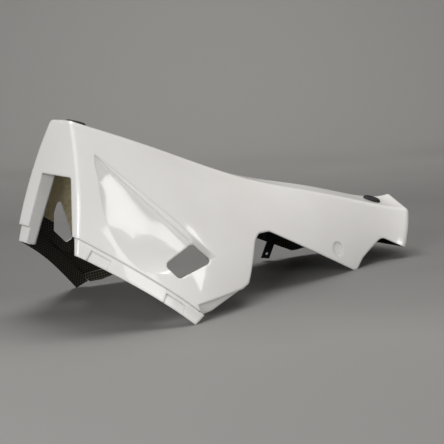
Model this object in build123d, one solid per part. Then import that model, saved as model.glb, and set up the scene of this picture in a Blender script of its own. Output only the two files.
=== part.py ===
from build123d import *
import math
import os
from collections import namedtuple

os.makedirs("parts", exist_ok=True)

# Lengths in millimetres. X runs to the tail, Y to the left side, Z up from the floor.
# The pan lies keel up on its rim, so Z = 0 is the floor under its lowest corners.

# Laminate
wall = 3.0
edge_round = 13.0
front_round = 5.0
flange_round = 2.0

# Hull ribs. Each is a slanted cross section from foot to keel, belly is the sagitta of its side
Rib = namedtuple("Rib", "foot_x foot_half keel_x keel_z crown_half crown_drop belly")
foot_z = -15.0
front_rib = Rib(-201.0, 105.0, -118.0, 355.0, 36.0, 1.0, 37.0)
brow_rib = Rib(-122.0, 158.0, -50.0, 329.0, 36.0, 1.0, 26.0)
beam_rib = Rib(-11.0, 220.0, 108.0, 267.0, 28.0, 1.0, 15.0)
waist_rib = Rib(195.0, 172.0, 290.0, 202.0, 34.0, 6.0, 12.0)
roof_rib = Rib(345.0, 131.0, 405.0, 175.0, 42.0, 11.0, 9.0)
corner_rib = Rib(480.0, 99.0, 540.0, 138.0, 50.0, 12.0, 6.0)
tail_rib = Rib(610.0, 98.0, 687.0, 126.0, 70.0, 36.0, 10.0)
ribs = (front_rib, brow_rib, beam_rib, waist_rib, roof_rib, corner_rib, tail_rib)

# Joggled joint flange along the front rim
joggle = 4.5
joggle_front = (-170.0, 170.0)
joggle_mid = (-60.0, 88.0)
joggle_end = (24.0, 11.0)
flange_front = (-167.0, 135.0)
flange_mid = (-78.0, 71.5)
flange_end = (0.0, 0.0)
pad_sink = 1.4
pad_length = 36.0
pad_gap = 7.0
pad_centres = (-137.0, -34.0)

# Rear rim in side view: wing foot, cut-out roof and tail arch
wing_foot = ((48.0, 12.0), (150.0, 39.0), (166.0, 56.0))
roof = ((206.0, 104.0), (222.0, 113.0), (252.0, 112.0))
right_toe = ((466.0, 0.0), (478.0, 0.0))
left_toe_lift = 15.0
arch = ((500.0, 18.0), (566.0, 50.0), (622.0, 20.0))
tail_end = (760.0, 12.0)
wing_round = 14.0
roof_round = 14.0
toe_round = 7.0
arch_round = 25.0

# Turned-in band over the wing foot
fold_front = (15.0, -196.0, 30.0)
fold_rear = (135.0, -168.5, 34.0)

# Front notch, across the front face from the foot upward, its middle set off to the right
notch_shift = -10.0
notch_top = 281.0
notch_top_half = 53.0
notch_knee = 187.0
notch_knee_half = 80.0
notch_foot = 150.0
notch_foot_half = 89.5
notch_round = 6.0
return_top = 33.0
return_foot = 20.0

# Scoop panel on each side: crease above, hinge below, depth under the crease
Station = namedtuple("Station", "crease hinge depth")
scoop = (
    Station((-91.6, -65.0, 293.4), (-97.5, -74.3, 275.0), 0.5),
    Station((-22.4, -92.8, 223.0), (-106.5, -107.5, 196.6), 11.0),
    Station((36.7, -123.0, 158.2), (-94.0, -137.0, 125.0), 15.0),
    Station((90.0, -150.5, 96.5), (0.5, -171.5, 81.8), 20.0),
)
scoop_out = Vector(0.06, -0.87, 0.49)
scoop_clear = 45.0

# Vent at the rear end of the right scoop, cut slantwise from the front right
vent_middle = (35.0, -148.0, 98.0)
vent_axis = (-0.548, -0.811, 0.204)
vent_across = (0.828, -0.560, 0.0)
right_vent = ((-43.5, -5.5), (6.0, 30.0), (41.0, -4.5), (-18.5, -31.0))
right_vent_round = 8.0
vent_reach = 45.0

# Slot through the left side, in side view
left_slot = ((-80.0, 206.0), (-86.0, 173.0), (-81.0, 137.0), (-50.0, 108.0), (-39.0, 115.0))
left_slot_round = 5.0

# Fastener dish by the right toe
dish_x = 430.0
dish_z = 48.0
dish_radius = 15.0
dish_depth = 2.0

# Rubber drain plugs
drain_radius = 12.5
drain_front_x = -88.0
drain_rear_x = 597.0
drain_rear_y = -19.5
seat_radius = 19.0
seat_depth = 0.8
plug_flange_radius = 18.0
plug_flange = 5.0
plug_lip_radius = 14.0
plug_lip = 4.0
plug_clearance = 0.2

# Bracket on the left wall
bracket_x = 414.0
bracket_z = 63.0
bracket_plate = 2.0
bracket_bar = 42.0
bracket_bar_height = 20.0
bracket_stem = 20.0
bracket_reach = 50.0
bracket_hole = 3.3
bracket_hole_up = 11.0
bracket_lean = 9.0
land_rise = 3.0
land_margin = 3.0
rivet_radius = 2.4
rivet_head = 4.75
rivet_head_height = 1.6
rivet_grip = 4.0
rivet_pitch = 28.0
rivet_clearance = 0.1

# Size of the tools that cut through everything
reach = 300.0


def rib_section(rib, inset, shift):
    rise = rib.keel_z - foot_z
    length = math.hypot(rib.keel_x - rib.foot_x, rise)
    up = Vector(rib.keel_x - rib.foot_x, 0, rise) / length
    plane = Plane((rib.foot_x + shift, 0, foot_z), x_dir=(0, 1, 0), z_dir=Vector(0, 1, 0).cross(up))
    foot = Vector(rib.foot_half, 0)
    crown = Vector(rib.crown_half, length - rib.crown_drop)
    chord = crown - foot
    side = Vector(chord.Y, -chord.X) / chord.length
    middle = (foot + crown) / 2 + side * rib.belly
    radius = (chord.length**2 / 4 + rib.belly**2) / (2 * rib.belly)
    centre = middle - side * radius
    shrink = (radius - inset) / radius
    bevel_angle = math.atan2(rib.crown_drop, rib.crown_half)
    wall_normal = (crown - centre) / radius
    crown_normal = Vector(math.sin(bevel_angle), math.cos(bevel_angle))
    mitre = (wall_normal + crown_normal) / (1 + wall_normal.dot(crown_normal))
    a = centre + (foot - centre) * shrink
    b = centre + (middle - centre) * shrink
    c = crown - mitre * inset
    top = length - inset / math.cos(bevel_angle)
    outline = Curve() + [
        ThreePointArc((a.X, a.Y), (b.X, b.Y), (c.X, c.Y)),
        Line((c.X, c.Y), (0, top)),
        Line((0, top), (-c.X, c.Y)),
        ThreePointArc((-c.X, c.Y), (-b.X, b.Y), (-a.X, a.Y)),
        Line((-a.X, a.Y), (a.X, a.Y)),
    ]
    return plane * make_face(outline)


def blank(inset):
    # The front closes inset behind the front rib and the tail inset before the tail rib
    shifts = [inset] + [0.0] * (len(ribs) - 2) + [-inset]
    return loft([rib_section(rib, inset, shift) for rib, shift in zip(ribs, shifts)])


def end_edges(body, index):
    face = body.faces().sort_by(Axis.X)[index]
    return [edge for edge in face.edges() if edge.center().Z > 0]


def crown_edges(body):
    long_edges = [edge for edge in body.edges() if edge.length > 400 and edge.center().Z > 100]
    return [edge for edge in long_edges if abs(edge.center().Y) > 10]


def side_block(face, y_from, y_to):
    # A side-view face drawn in X and Z, made solid across the pan
    placed = Plane((0, y_from, 0), x_dir=(1, 0, 0), z_dir=(0, -1, 0)) * face
    return extrude(placed, y_from - y_to)


def rounded(points, rounds):
    face = make_face(Polyline(*points, close=True))
    for point, radius in rounds:
        corner = face.vertices().sort_by_distance((point[0], point[1], 0))[0]
        face = fillet(corner, radius)
    return face


def rim_points(lift):
    toe = [(x, z + lift) for x, z in right_toe]
    return list(wing_foot) + list(roof) + toe + list(arch) + [tail_end]


def main_face(lift):
    # The side view above the joggle and the rear rim
    path = rim_points(lift)
    outline = Curve() + [
        Line((-reach, joggle_front[1]), joggle_front),
        ThreePointArc(joggle_front, joggle_mid, joggle_end),
        Polyline(joggle_end, *path, (tail_end[0], 2 * reach), (-reach, 2 * reach)),
        Line((-reach, 2 * reach), (-reach, joggle_front[1])),
    ]
    face = make_face(outline)
    rounds = [(path[1], wing_round), (path[3], roof_round), (path[4], roof_round), (path[5], roof_round)]
    rounds += [(path[6], toe_round), (path[7], toe_round), (path[9], arch_round)]
    for point, radius in rounds:
        corner = face.vertices().sort_by_distance((point[0], point[1], 0))[0]
        face = fillet(corner, radius)
    return face


def flange_face():
    # The side view of the flange between joggle and rim
    outline = Curve() + [
        ThreePointArc(joggle_front, joggle_mid, joggle_end),
        Line(joggle_end, flange_end),
        ThreePointArc(flange_end, flange_mid, flange_front),
        Polyline(flange_front, (-reach, flange_front[1]), (-reach, joggle_front[1]), joggle_front),
    ]
    return make_face(outline)


def scoop_tool(grow):
    # The wedge that sinks the scoop, grown by the wall for the inside
    run = (Vector(*scoop[-1].crease) - Vector(*scoop[0].crease)).normalized()
    out = scoop_out.normalized()
    above = out.cross(run).normalized()
    if above.Z < 0:
        above = above * -1
    sections = []
    for index, station in enumerate(scoop):
        slide = run * (-grow if index == 0 else grow if index == len(scoop) - 1 else 0)
        crease = Vector(*station.crease) + above * grow + slide
        hinge = Vector(*station.hinge) - out * grow + slide
        low = crease - out * (station.depth + grow)
        corners = (crease + out * scoop_clear, low, hinge, hinge + out * scoop_clear)
        sections.append(make_face(Polyline(*corners, close=True)))
    return loft(sections)


def fold_tool(grow):
    # The block outside the turned-in band, moved inward by the wall for the inside
    along = Vector(*fold_rear) - Vector(*fold_front)
    level = Vector(along.X, along.Y, 0).normalized()
    out = Vector(level.Y, -level.X, 0)
    plane = Plane(Vector(*fold_front) - out * grow, x_dir=along, z_dir=out)
    face = Rectangle(reach * 0.7, 90, align=(Align.MIN, Align.MAX))
    return extrude(plane * face, 60)


def drain_seat(outer, x, y):
    point, normal = outer.find_intersection_points(Axis((x, y, 2 * reach), (0, 0, -1)))[0]
    if normal.Z < 0:
        normal = normal * -1
    return Plane(point - normal * seat_depth, z_dir=normal)


def disc(plane, radius, start, height):
    return extrude(plane.offset(start) * Circle(radius), height)


# Envelopes of the skin, the cavity and the joggled flange
plain = blank(0.0)
soft = fillet(crown_edges(plain) + end_edges(plain, -1), edge_round)
outer = fillet(end_edges(soft, 0), front_round)
hollow = blank(wall)
inner = fillet(crown_edges(hollow) + end_edges(hollow, -1), edge_round - wall)
lap = blank(joggle)
flange_outer = fillet(end_edges(lap, 0), flange_round)
flange_inner = blank(joggle + wall)
pad_floor = blank(joggle + pad_sink)

# Moulded forms sunk into both the skin and the cavity
front_seat = drain_seat(outer, drain_front_x, 0.0)
rear_seat = drain_seat(outer, drain_rear_x, drain_rear_y)
dish_point, dish_normal = outer.find_intersection_points(Axis((dish_x, -2 * reach, dish_z), (0, 1, 0)))[0]
if dish_normal.Y > 0:
    dish_normal = dish_normal * -1
dish_plane = Plane(dish_point, z_dir=dish_normal)
skin = outer
cavity = inner
for sign in (1, -1):
    for grow in (0.0, wall):
        tool = scoop_tool(grow)
        fold = fold_tool(grow)
        if sign < 0:
            tool = mirror(tool, Plane.XZ)
            fold = mirror(fold, Plane.XZ)
        if grow == 0.0:
            skin = skin - tool - fold
        else:
            cavity = cavity - tool - fold
skin = skin - disc(dish_plane, dish_radius, -dish_depth, reach / 10)
cavity = cavity - disc(dish_plane, dish_radius + wall, -dish_depth - wall, reach / 10)
for seat in (front_seat, rear_seat):
    skin = skin - disc(seat, seat_radius, 0, reach / 10)
    cavity = cavity - disc(seat, seat_radius + wall, -wall, reach / 10)

# Side-view zones
right_zone = side_block(main_face(0.0), -reach, 0)
left_zone = side_block(main_face(left_toe_lift), 0, reach)
main_zone = right_zone + left_zone
flange_zone = side_block(flange_face(), -reach, reach)
step_zone = Pos(wall * 0.65, 0, wall * 0.76) * flange_zone

# Shell: main wall, step of the joggle, flange, and two sunk pads on each flange
main_wall = (skin - cavity) & main_zone
step = ((skin - flange_inner) & main_zone) & step_zone
flange = (flange_outer - flange_inner) & flange_zone
shell = main_wall + step + flange
pad_band = flange_zone & (Pos(-pad_gap * 0.65, 0, -pad_gap * 0.76) * flange_zone)
for centre in pad_centres:
    pad_zone = Box(pad_length, 2 * reach, reach)
    slope = (flange_end[1] - flange_front[1]) / (flange_end[0] - flange_front[0])
    placed = Pos(centre, 0, flange_end[1] + slope * centre) * Rot(0, -math.degrees(math.atan(slope)), 0)
    shell = shell - ((flange_outer - pad_floor) & pad_band & (placed * pad_zone))

# Front notch and its return flanges
front_rise = front_rib.keel_z - foot_z
front_up = Vector(front_rib.keel_x - front_rib.foot_x, 0, front_rise).normalized()
front_plane = Plane((front_rib.foot_x, 0, foot_z), x_dir=(0, 1, 0), z_dir=Vector(0, 1, 0).cross(front_up))
notch_points = (
    (notch_shift + notch_top_half, notch_top),
    (notch_shift + notch_knee_half, notch_knee),
    (notch_shift + notch_foot_half, notch_foot),
    (notch_shift + notch_foot_half, 0),
    (notch_shift - notch_foot_half, 0),
    (notch_shift - notch_foot_half, notch_foot),
    (notch_shift - notch_knee_half, notch_knee),
    (notch_shift - notch_top_half, notch_top),
)
notch = rounded(notch_points, [(notch_points[0], notch_round), (notch_points[-1], notch_round)])
inward = 1 if front_plane.z_dir.X > 0 else -1
shell = shell - extrude(front_plane * notch, 2 * wall + joggle + 8, both=True)
for sign in (1, -1):
    top = Vector(notch_shift + sign * notch_top_half, notch_top)
    knee = Vector(notch_shift + sign * notch_knee_half, notch_knee)
    foot = Vector(notch_shift + sign * notch_foot_half, notch_foot)
    strip = Polyline(
        (top.X, top.Y),
        (knee.X, knee.Y),
        (foot.X, foot.Y),
        (foot.X + sign * wall, foot.Y),
        (knee.X + sign * wall, knee.Y),
        (top.X + sign * wall, top.Y),
        close=True,
    )
    fin = extrude(front_plane * make_face(strip), inward * (return_top + wall))
    depth_cut = make_face(
        Polyline(
            (front_rib.keel_x + return_top, front_rib.keel_z),
            (front_rib.foot_x + return_foot, foot_z),
            (reach, foot_z),
            (reach, front_rib.keel_z),
            close=True,
        )
    )
    fin = fin - side_block(depth_cut, -reach, reach)
    shell = shell + ((fin & skin & main_zone) + (fin & flange_outer & flange_zone))

# Openings
vent_face = rounded(right_vent, [(point, right_vent_round) for point in right_vent])
slot_face = rounded(left_slot, [(point, left_slot_round) for point in left_slot])
vent_plane = Plane(vent_middle, x_dir=vent_across, z_dir=vent_axis)
shell = shell - extrude(vent_plane * vent_face, vent_reach, both=True)
shell = shell - side_block(slot_face, 20, reach)
for seat in (front_seat, rear_seat):
    shell = shell - disc(seat, drain_radius, -4 * wall, 8 * wall)

# Flat land for the bracket on the inside of the left wall
land_hits = inner.find_intersection_points(Axis((bracket_x, 0, bracket_z), (0, 1, 0)))
land_point, land_normal = max(land_hits, key=lambda hit: hit[0].Y)
if land_normal.Y > 0:
    land_normal = land_normal * -1
land_plane = Plane(land_point + land_normal * land_rise, x_dir=(1, 0, 0), z_dir=land_normal)
land_size = (bracket_bar + 2 * land_margin, bracket_bar_height + 2 * land_margin)
land = extrude(land_plane * Rectangle(*land_size), -land_rise - wall)
shell = shell + (land & inner & main_zone)
rivet_spots = [Pos(-rivet_pitch / 2, 0), Pos(rivet_pitch / 2, 0)]
for spot in rivet_spots:
    hole = land_plane * spot * Circle(rivet_radius + rivet_clearance)
    shell = shell - extrude(hole, -rivet_grip - rivet_clearance)

# Drain plugs
plugs = []
for seat in (front_seat, rear_seat):
    neck = disc(seat, drain_radius - plug_clearance, -wall - plug_clearance, wall + plug_clearance)
    lip = disc(seat, plug_lip_radius, -wall - plug_clearance - plug_lip, plug_lip)
    cap = disc(seat, plug_flange_radius, 0, plug_flange)
    top = cap.faces().sort_by_distance(seat.offset(plug_flange).origin)[0]
    cap = chamfer(top.edges(), plug_flange * 0.35)
    plugs.append(neck + lip + cap)

# Bracket: a bar on the land and a stem past the rim, with one bolt hole
bar = Rectangle(bracket_bar, bracket_bar_height)
lower = -1 if (land_plane.y_dir.Z > 0) else 1
stem_length = bracket_reach + bracket_bar_height / 2
stem = Pos(0, lower * stem_length / 2) * Rectangle(bracket_stem, stem_length)
tip = Pos(0, lower * (stem_length - bracket_hole_up)) * Circle(bracket_hole)
profile = bar + Rot(0, 0, -bracket_lean) * (stem - tip)
for spot in rivet_spots:
    profile = profile - spot * Circle(rivet_radius + rivet_clearance)
bracket = extrude(land_plane * profile, bracket_plate)

# Rivets through the bar into the land
rivets = []
for spot in rivet_spots:
    shank = extrude(land_plane * spot * Circle(rivet_radius), -rivet_grip)
    grip = extrude(land_plane * spot * Circle(rivet_radius), bracket_plate)
    head = extrude(land_plane.offset(bracket_plate) * spot * Circle(rivet_head), rivet_head_height)
    rivets.append(shank + grip + head)

# Move everything so that the origin is under the middle of the whole pan, on the floor
box = Compound([shell, bracket] + plugs + rivets).bounding_box()
home = Pos(-(box.min.X + box.max.X) / 2, -(box.min.Y + box.max.Y) / 2, -box.min.Z)

export_step(home * shell, "parts/shell.step")
export_step(home * Compound(plugs), "parts/drain_plugs.step")
export_step(home * bracket, "parts/bracket.step")
export_step(home * Compound(rivets), "parts/rivets.step")
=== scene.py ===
import math
from collections import namedtuple

import bpy
from mathutils import Matrix, Vector
from mathutils.bvhtree import BVHTree

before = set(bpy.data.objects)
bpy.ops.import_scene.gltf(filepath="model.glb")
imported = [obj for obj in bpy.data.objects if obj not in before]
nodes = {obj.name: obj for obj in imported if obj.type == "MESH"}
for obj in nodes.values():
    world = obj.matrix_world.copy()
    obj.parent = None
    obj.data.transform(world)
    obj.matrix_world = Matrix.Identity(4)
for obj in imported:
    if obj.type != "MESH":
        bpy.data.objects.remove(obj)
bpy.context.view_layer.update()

# Lengths in metres. X runs to the tail, Y to the left side, Z up from the floor.

# Place of the wing tips along X, from which the other places along X are given
WING_X = -0.25554

# Camera, as the photograph was taken
CAMERA_PLACE = (-1.327247, -1.778217, 0.506586)
CAMERA_RIGHT = (0.803123, -0.593481, -0.052670)
CAMERA_UP = (0.143939, 0.107481, 0.983733)
CAMERA_LENS = 93.24
CAMERA_SENSOR = 36.0

# Front notch of the shell: front plane, middle, and half width against height
FRONT_FOOT = (-0.201 + WING_X, 0.0, -0.015)
FRONT_KEEL = (-0.118 + WING_X, 0.0, 0.355)
NOTCH_MIDDLE = -0.010
NOTCH_HALVES = ((0.150, 0.0895), (0.187, 0.080), (0.281, 0.053))
NOTCH_SLACK = 0.002

# Returns beside the notch: depth behind the front plane, top, and least turn to the side
RETURN_DEPTH = 0.037
RETURN_TOP = 0.285
RETURN_FACING = 0.5

# Vent through the right scoop, the reach of its cut edge, and the most that the edge looks inward
VENT_MIDDLE = (0.035 + WING_X, -0.148, 0.098)
VENT_AXIS = (-0.548, -0.811, 0.204)
VENT_REACH = 0.047
VENT_FACING = -0.3

# Outer face of the tail cap
TAIL_FOOT = (0.610 + WING_X, 0.0, -0.015)
TAIL_FACING = (0.878, 0.0, -0.479)
TAIL_SLACK = 0.001

# Rays that tell an inner face: where they start, how they fan out, and how many must meet the wall
RAY_START = 0.002
RAY_RUNS = (-0.35, 0.0, 0.35)
RAY_LIFTS = (0.1, 0.3, 0.6)
RAYS_MET = 5

# Upper edge of the dark fibre in side view, and the place behind which the whole inside is painted dark
# as painted shade
PATCH_POINT = (-0.097 + WING_X, 0.163)
PATCH_SLOPE = -0.667
PAINTED_SHADE_FROM_X = 0.012 + WING_X

# Weave of the dark fibre: pitch of two tows, slope of the front rim, and faces that count as level
WEAVE_PITCH = 0.0075
RIM_RUN = 0.777
RIM_FALL = 0.629
LEVEL_FACING = 0.3

# Studio sheet, from the camera's side through the cove to the top of its wall
SHEET_FRONT = -3.2
SHEET_BEND = 1.9
SHEET_TOP = 4.0
SHEET_HALF = 4.5
COVE_RADIUS = 0.9
COVE_STEPS = 12

# Stretch of the sheet over which its grey changes, with a painted shadow under the pan, and how far a
# slow noise shifts it
GREY_START = -2.0
GREY_LENGTH = 5.0
GREY_DRIFT = 0.1

# Light of the room, and the grey that is seen past the sheet
ROOM_GREY = (0.5, 0.5, 0.5, 1.0)
ROOM_STRENGTH = 0.16
SEEN_GREY = (0.21, 0.207, 0.203, 1.0)

# Softboxes, with their power in watts
Lamp = namedtuple("Lamp", "name place target size power colour")
LAMPS = (
    Lamp("front", (-2.15, -0.95, 0.85), (-0.2, 0.0, 0.15), (1.1, 1.1), 38.0, (1.0, 1.0, 1.0)),
    Lamp("overhead", (0.3, 0.35, 2.1), (0.0, 0.0, 0.0), (1.8, 1.2), 29.0, (1.0, 0.98, 0.96)),
    Lamp("low", (0.7, -2.2, 0.45), (0.0, 0.0, 0.1), (1.2, 0.5), 11.0, (1.0, 0.965, 0.935)),
    Lamp("high", (-0.315, -1.86, 1.12), (-0.315, -0.164, 0.065), (0.75, 0.5), 2.6, (1.0, 1.0, 1.0)),
    Lamp("strip", (0.924, -0.838, 0.901), (-0.434, -0.264, 0.279), (0.48, 0.195), 1.0, (1.0, 1.0, 1.0)),
    Lamp("wash", (0.3, 0.5, 2.6), (1.7, 2.3, 0.7), (2.0, 0.6), 34.0, (1.0, 0.975, 0.955)),
)

# Sockets of a mix node: first value, second value and result
MIX_NUMBERS = (2, 3, 0)
MIX_COLOURS = (6, 7, 2)

# Samples with which a sharp edge is shaded as a round one
EDGE_SAMPLES = 6


def material(name):
    mat = bpy.data.materials.new(name)
    mat.use_nodes = True
    tree = mat.node_tree
    return mat, tree, tree.nodes["Principled BSDF"]


def object_coords(tree):
    return tree.nodes.new("ShaderNodeTexCoord").outputs["Object"]


def split(tree, vector):
    node = tree.nodes.new("ShaderNodeSeparateXYZ")
    tree.links.new(vector, node.inputs["Vector"])
    return node.outputs


def noise(tree, coords, scale, detail):
    node = tree.nodes.new("ShaderNodeTexNoise")
    node.inputs["Scale"].default_value = scale
    node.inputs["Detail"].default_value = detail
    tree.links.new(coords, node.inputs["Vector"])
    return node.outputs["Fac"]


def maths(tree, how, *values):
    # Plain numbers are set on the node, and sockets are linked to it
    node = tree.nodes.new("ShaderNodeMath")
    node.operation = how
    for socket, value in zip(node.inputs, values):
        if isinstance(value, float):
            socket.default_value = value
        else:
            tree.links.new(value, socket)
    return node.outputs[0]


def weighted(tree, a, a_share, b, b_share):
    # Both values, each times its share, added up
    return maths(tree, "ADD", maths(tree, "MULTIPLY", a, a_share), maths(tree, "MULTIPLY", b, b_share))


def mix(tree, share, first, second, sockets):
    node = tree.nodes.new("ShaderNodeMix")
    if sockets == MIX_COLOURS:
        node.data_type = "RGBA"
    tree.links.new(share, node.inputs["Factor"])
    tree.links.new(first, node.inputs[sockets[0]])
    tree.links.new(second, node.inputs[sockets[1]])
    return node.outputs[sockets[2]]


def grey(level):
    return (level, level, level, 1.0)


def ramp(tree, fac, *stops):
    node = tree.nodes.new("ShaderNodeValToRGB")
    first, last = node.color_ramp.elements
    for element, (place, colour) in zip((first, last), (stops[0], stops[-1])):
        element.position = place
        element.color = colour
    for place, colour in stops[1:-1]:
        node.color_ramp.elements.new(place).color = colour
    tree.links.new(fac, node.inputs["Fac"])
    return node.outputs["Color"]


def edge_round(tree, radius):
    node = tree.nodes.new("ShaderNodeBevel")
    node.samples = EDGE_SAMPLES
    node.inputs["Radius"].default_value = radius
    return node.outputs["Normal"]


def bump(tree, height, strength, distance, normal=None):
    node = tree.nodes.new("ShaderNodeBump")
    node.inputs["Strength"].default_value = strength
    node.inputs["Distance"].default_value = distance
    tree.links.new(height, node.inputs["Height"])
    if normal is not None:
        tree.links.new(normal, node.inputs["Normal"])
    return node.outputs["Normal"]


def gelcoat():
    # White gelcoat: warm white, glossy, with a faint wave and fine dust
    mat, tree, bsdf = material("gelcoat_white")
    coords = object_coords(tree)
    tone = noise(tree, coords, scale=7.0, detail=3.0)
    colour = ramp(tree, tone, (0.3, (0.760, 0.748, 0.728, 1.0)), (0.7, (0.800, 0.790, 0.772, 1.0)))
    dust = noise(tree, coords, scale=260.0, detail=2.0)
    roughness = ramp(tree, dust, (0.35, grey(0.07)), (0.75, grey(0.12)))
    wave = noise(tree, coords, scale=26.0, detail=1.0)
    normal = bump(tree, wave, strength=0.06, distance=0.002, normal=edge_round(tree, radius=0.006))
    tree.links.new(colour, bsdf.inputs["Base Color"])
    tree.links.new(roughness, bsdf.inputs["Roughness"])
    tree.links.new(normal, bsdf.inputs["Normal"])
    bsdf.inputs["IOR"].default_value = 1.52
    bsdf.inputs["Coat Weight"].default_value = 0.7
    bsdf.inputs["Coat Roughness"].default_value = 0.02
    return mat


def fibre_and_painted_shade(tree, x, z):
    # One where the dark fibre lies below its edge at the front, and everywhere behind, where the same
    # dark colour is painted shade
    fall = maths(tree, "MULTIPLY", maths(tree, "SUBTRACT", x, PATCH_POINT[0]), PATCH_SLOPE)
    edge = maths(tree, "ADD", fall, PATCH_POINT[1])
    below = maths(tree, "LESS_THAN", z, edge)
    # Everything behind this place is painted shade in the dark fibre's colour
    painted_shade_behind = maths(tree, "GREATER_THAN", x, PAINTED_SHADE_FROM_X)
    return maths(tree, "MAXIMUM", below, painted_shade_behind)


def weave(tree, x, y, z):
    # Tows along and across the front rim, and on level faces the warp across the pan
    turns = 2.0 * math.pi / WEAVE_PITCH
    along = weighted(tree, x, RIM_RUN, z, -RIM_FALL)
    across = weighted(tree, x, RIM_FALL, z, RIM_RUN)
    normal = tree.nodes.new("ShaderNodeTexCoord").outputs["Normal"]
    sideways = maths(tree, "ABSOLUTE", split(tree, normal)["Y"])
    level = maths(tree, "LESS_THAN", sideways, LEVEL_FACING)
    along = mix(tree, level, along, y, MIX_NUMBERS)
    warp = maths(tree, "SINE", maths(tree, "MULTIPLY", along, turns))
    weft = maths(tree, "SINE", maths(tree, "MULTIPLY", across, turns))
    # Their product runs from -1 to 1, and is brought to 0 to 1
    return maths(tree, "MULTIPLY_ADD", maths(tree, "MULTIPLY", warp, weft), 0.5, 0.5)


def laminate():
    # Bare laminate inside, with dark woven fibre along the front rim, and the same dark weave painted
    # all the way behind it as painted shade
    mat, tree, bsdf = material("laminate_bare")
    coords = object_coords(tree)
    x, y, z = split(tree, coords)
    fibre_and_shade_mask = fibre_and_painted_shade(tree, x, z)
    cloth = noise(tree, coords, scale=120.0, detail=4.0)
    resin = noise(tree, coords, scale=12.0, detail=3.0)
    plain = ramp(
        tree,
        weighted(tree, cloth, 0.5, resin, 0.5),
        (0.35, (0.400, 0.345, 0.190, 1.0)),
        (0.5, (0.620, 0.545, 0.335, 1.0)),
        (0.7, (0.740, 0.670, 0.445, 1.0)),
    )
    tows = weave(tree, x, y, z)
    # Dark weave: real fibre along the front rim, and painted shade behind it
    dark_weave_and_shade = ramp(
        tree,
        tows,
        (0.4, (0.006, 0.006, 0.005, 1.0)),
        (0.65, (0.020, 0.018, 0.013, 1.0)),
        (0.95, (0.150, 0.132, 0.090, 1.0)),
    )
    roughness = ramp(tree, fibre_and_shade_mask, (0.0, grey(0.62)), (1.0, grey(0.34)))
    grain = mix(tree, fibre_and_shade_mask, cloth, tows, MIX_NUMBERS)
    tree.links.new(mix(tree, fibre_and_shade_mask, plain, dark_weave_and_shade, MIX_COLOURS), bsdf.inputs["Base Color"])
    tree.links.new(roughness, bsdf.inputs["Roughness"])
    tree.links.new(bump(tree, grain, strength=0.5, distance=0.0006), bsdf.inputs["Normal"])
    return mat


def rubber():
    # Matte black rubber with a fine grain
    mat, tree, bsdf = material("rubber_black")
    coords = object_coords(tree)
    tone = noise(tree, coords, scale=60.0, detail=3.0)
    colour = ramp(tree, tone, (0.3, (0.006, 0.006, 0.006, 1.0)), (0.75, (0.014, 0.013, 0.012, 1.0)))
    grain = noise(tree, coords, scale=900.0, detail=2.0)
    tree.links.new(colour, bsdf.inputs["Base Color"])
    tree.links.new(bump(tree, grain, strength=0.25, distance=0.0004), bsdf.inputs["Normal"])
    bsdf.inputs["Roughness"].default_value = 0.6
    bsdf.inputs["Specular IOR Level"].default_value = 0.3
    return mat


def black_metal(name, roughness):
    # Satin black paint on metal
    mat, tree, bsdf = material(name)
    tone = noise(tree, object_coords(tree), scale=150.0, detail=4.0)
    colour = ramp(tree, tone, (0.3, (0.010, 0.010, 0.012, 1.0)), (0.8, (0.030, 0.030, 0.034, 1.0)))
    normal = bump(tree, tone, strength=0.15, distance=0.0004, normal=edge_round(tree, radius=0.0005))
    tree.links.new(colour, bsdf.inputs["Base Color"])
    tree.links.new(normal, bsdf.inputs["Normal"])
    bsdf.inputs["Roughness"].default_value = roughness
    return mat


def studio_grey_painted_shadow(away):
    # Grey sheet: a little darker on the floor under the pan than before it and up its wall, as a
    # painted shadow
    mat, tree, bsdf = material("studio_grey_painted_shadow")
    coords = object_coords(tree)
    x, y = split(tree, coords)[:2]
    drift = noise(tree, coords, scale=1.5, detail=2.0)
    run = maths(tree, "SUBTRACT", weighted(tree, x, away.x, y, away.y), GREY_START)
    place = weighted(tree, run, 1.0 / GREY_LENGTH, drift, GREY_DRIFT)
    # The darker stops on the floor under the pan are painted shadow
    colour = ramp(
        tree,
        place,
        (0.36, (0.265, 0.260, 0.253, 1.0)),
        (0.46, (0.180, 0.177, 0.173, 1.0)),
        (0.62, (0.170, 0.167, 0.163, 1.0)),
        (0.86, (0.335, 0.329, 0.322, 1.0)),
    )
    tree.links.new(colour, bsdf.inputs["Base Color"])
    bsdf.inputs["Roughness"].default_value = 0.75
    bsdf.inputs["Specular IOR Level"].default_value = 0.2
    return mat


def notch_half(height):
    # Half width of the front notch at a height along the front face
    if height <= NOTCH_HALVES[0][0]:
        return NOTCH_HALVES[0][1]
    for (low, low_half), (high, high_half) in zip(NOTCH_HALVES, NOTCH_HALVES[1:]):
        if height <= high:
            return low_half + (high_half - low_half) * (height - low) / (high - low)
    return NOTCH_HALVES[-1][1]


def on_return(poly):
    # A face of the turned-in returns beside the front notch
    up = (Vector(FRONT_KEEL) - Vector(FRONT_FOOT)).normalized()
    back = Vector((0, 1, 0)).cross(up)
    off = poly.center - Vector(FRONT_FOOT)
    height = off.dot(up)
    if off.dot(back) >= RETURN_DEPTH or height >= RETURN_TOP:
        return False
    by_notch = abs(poly.center.y - NOTCH_MIDDLE) < notch_half(height) + NOTCH_SLACK
    return by_notch and abs(poly.normal.y) > RETURN_FACING


def on_vent_edge(poly):
    # A face of the vent's cut edge
    axis = Vector(VENT_AXIS).normalized()
    off = poly.center - Vector(VENT_MIDDLE)
    along = off.dot(axis)
    by_vent = abs(along) < VENT_REACH and (off - axis * along).length < VENT_REACH
    return by_vent and poly.normal.dot(axis) > VENT_FACING


def on_tail_cap(poly):
    # A face of the outside of the tail cap
    return (poly.center - Vector(TAIL_FOOT)).dot(Vector(TAIL_FACING)) > -TAIL_SLACK


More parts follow.
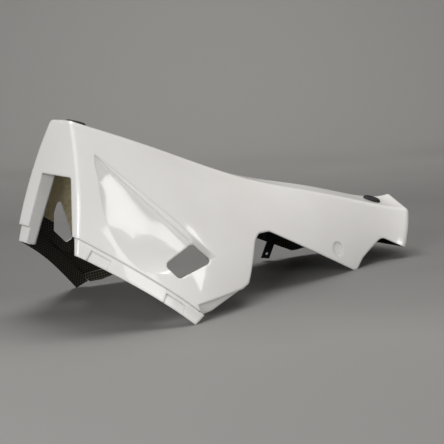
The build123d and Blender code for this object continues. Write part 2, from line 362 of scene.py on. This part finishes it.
def is_inside(tree, poly):
    # From an inner face the shell's own side wall hides the way out
    start = poly.center + poly.normal * RAY_START
    side = 1.0 if poly.center.y > 0 else -1.0
    met = 0
    for run in RAY_RUNS:
        for lift in RAY_LIFTS:
            ray = Vector((run, side, lift)).normalized()
            met += tree.ray_cast(start, ray)[0] is not None
    return met >= RAYS_MET


def dress(obj, *mats):
    obj.data.materials.clear()
    for mat in mats:
        obj.data.materials.append(mat)


def dress_shell(obj):
    # Gelcoat outside and laminate inside, face by face
    dress(obj, gelcoat(), laminate())
    mesh = obj.data
    faces = [poly.vertices[:] for poly in mesh.polygons]
    tree = BVHTree.FromPolygons([vertex.co for vertex in mesh.vertices], faces)
    for poly in mesh.polygons:
        white = on_return(poly) or on_vent_edge(poly) or on_tail_cap(poly)
        inner = not white and is_inside(tree, poly)
        poly.material_index = 1 if inner else 0
        poly.use_smooth = True


def backdrop():
    # One sheet: floor, cove and wall behind the pan, square to the camera
    right = Vector(CAMERA_RIGHT)
    right.z = 0
    right.normalize()
    away = Vector((-right.y, right.x, 0))
    profile = [(SHEET_FRONT, 0.0), (SHEET_BEND, 0.0)]
    for step in range(1, COVE_STEPS + 1):
        turn = math.pi / 2 * step / COVE_STEPS
        profile.append((SHEET_BEND + COVE_RADIUS * math.sin(turn), COVE_RADIUS * (1 - math.cos(turn))))
    profile.append((SHEET_BEND + COVE_RADIUS, SHEET_TOP))
    verts = []
    for run, rise in profile:
        for side in (-SHEET_HALF, SHEET_HALF):
            verts.append(away * run + right * side + Vector((0, 0, rise)))
    faces = [(2 * i, 2 * i + 1, 2 * i + 3, 2 * i + 2) for i in range(len(profile) - 1)]
    mesh = bpy.data.meshes.new("backdrop")
    mesh.from_pydata(verts, [], faces)
    for poly in mesh.polygons:
        poly.use_smooth = True
    obj = bpy.data.objects.new("backdrop", mesh)
    bpy.context.scene.collection.objects.link(obj)
    obj.data.materials.append(studio_grey_painted_shadow(away))


def softbox(lamp):
    data = bpy.data.lights.new(lamp.name, "AREA")
    data.shape = "RECTANGLE"
    data.size, data.size_y = lamp.size
    data.energy = lamp.power
    data.color = lamp.colour
    obj = bpy.data.objects.new(lamp.name, data)
    obj.location = lamp.place
    aim = Vector(lamp.target) - Vector(lamp.place)
    obj.rotation_euler = aim.to_track_quat("-Z", "Y").to_euler()
    bpy.context.scene.collection.objects.link(obj)


def camera():
    data = bpy.data.cameras.new("camera")
    data.sensor_fit = "HORIZONTAL"
    data.sensor_width = CAMERA_SENSOR
    data.lens = CAMERA_LENS
    obj = bpy.data.objects.new("camera", data)
    right = Vector(CAMERA_RIGHT).normalized()
    up = Vector(CAMERA_UP).normalized()
    turn = Matrix((right, up, right.cross(up))).transposed().to_4x4()
    obj.matrix_world = Matrix.Translation(Vector(CAMERA_PLACE)) @ turn
    bpy.context.scene.collection.objects.link(obj)
    bpy.context.scene.camera = obj


def room_light():
    # Soft light from all round, and a plain grey where the room itself is seen or mirrored
    world = bpy.data.worlds.new("studio")
    world.use_nodes = True
    tree = world.node_tree
    room = tree.nodes["Background"]
    room.inputs["Color"].default_value = ROOM_GREY
    room.inputs["Strength"].default_value = ROOM_STRENGTH
    seen = tree.nodes.new("ShaderNodeBackground")
    seen.inputs["Color"].default_value = SEEN_GREY
    path = tree.nodes.new("ShaderNodeLightPath").outputs
    direct = maths(tree, "MAXIMUM", path["Is Camera Ray"], path["Is Glossy Ray"])
    direct = maths(tree, "MAXIMUM", direct, path["Is Transmission Ray"])
    both = tree.nodes.new("ShaderNodeMixShader")
    tree.links.new(direct, both.inputs["Fac"])
    tree.links.new(room.outputs["Background"], both.inputs[1])
    tree.links.new(seen.outputs["Background"], both.inputs[2])
    tree.links.new(both.outputs["Shader"], tree.nodes["World Output"].inputs["Surface"])
    bpy.context.scene.world = world


dress_shell(nodes["shell"])
dress(nodes["drain_plugs"], rubber())
dress(nodes["bracket"], black_metal("bracket_black", roughness=0.42))
dress(nodes["rivets"], black_metal("rivet_black", roughness=0.3))

backdrop()
camera()
for lamp in LAMPS:
    softbox(lamp)
room_light()
bpy.context.scene.view_settings.view_transform = "Standard"

bpy.context.view_layer.update()
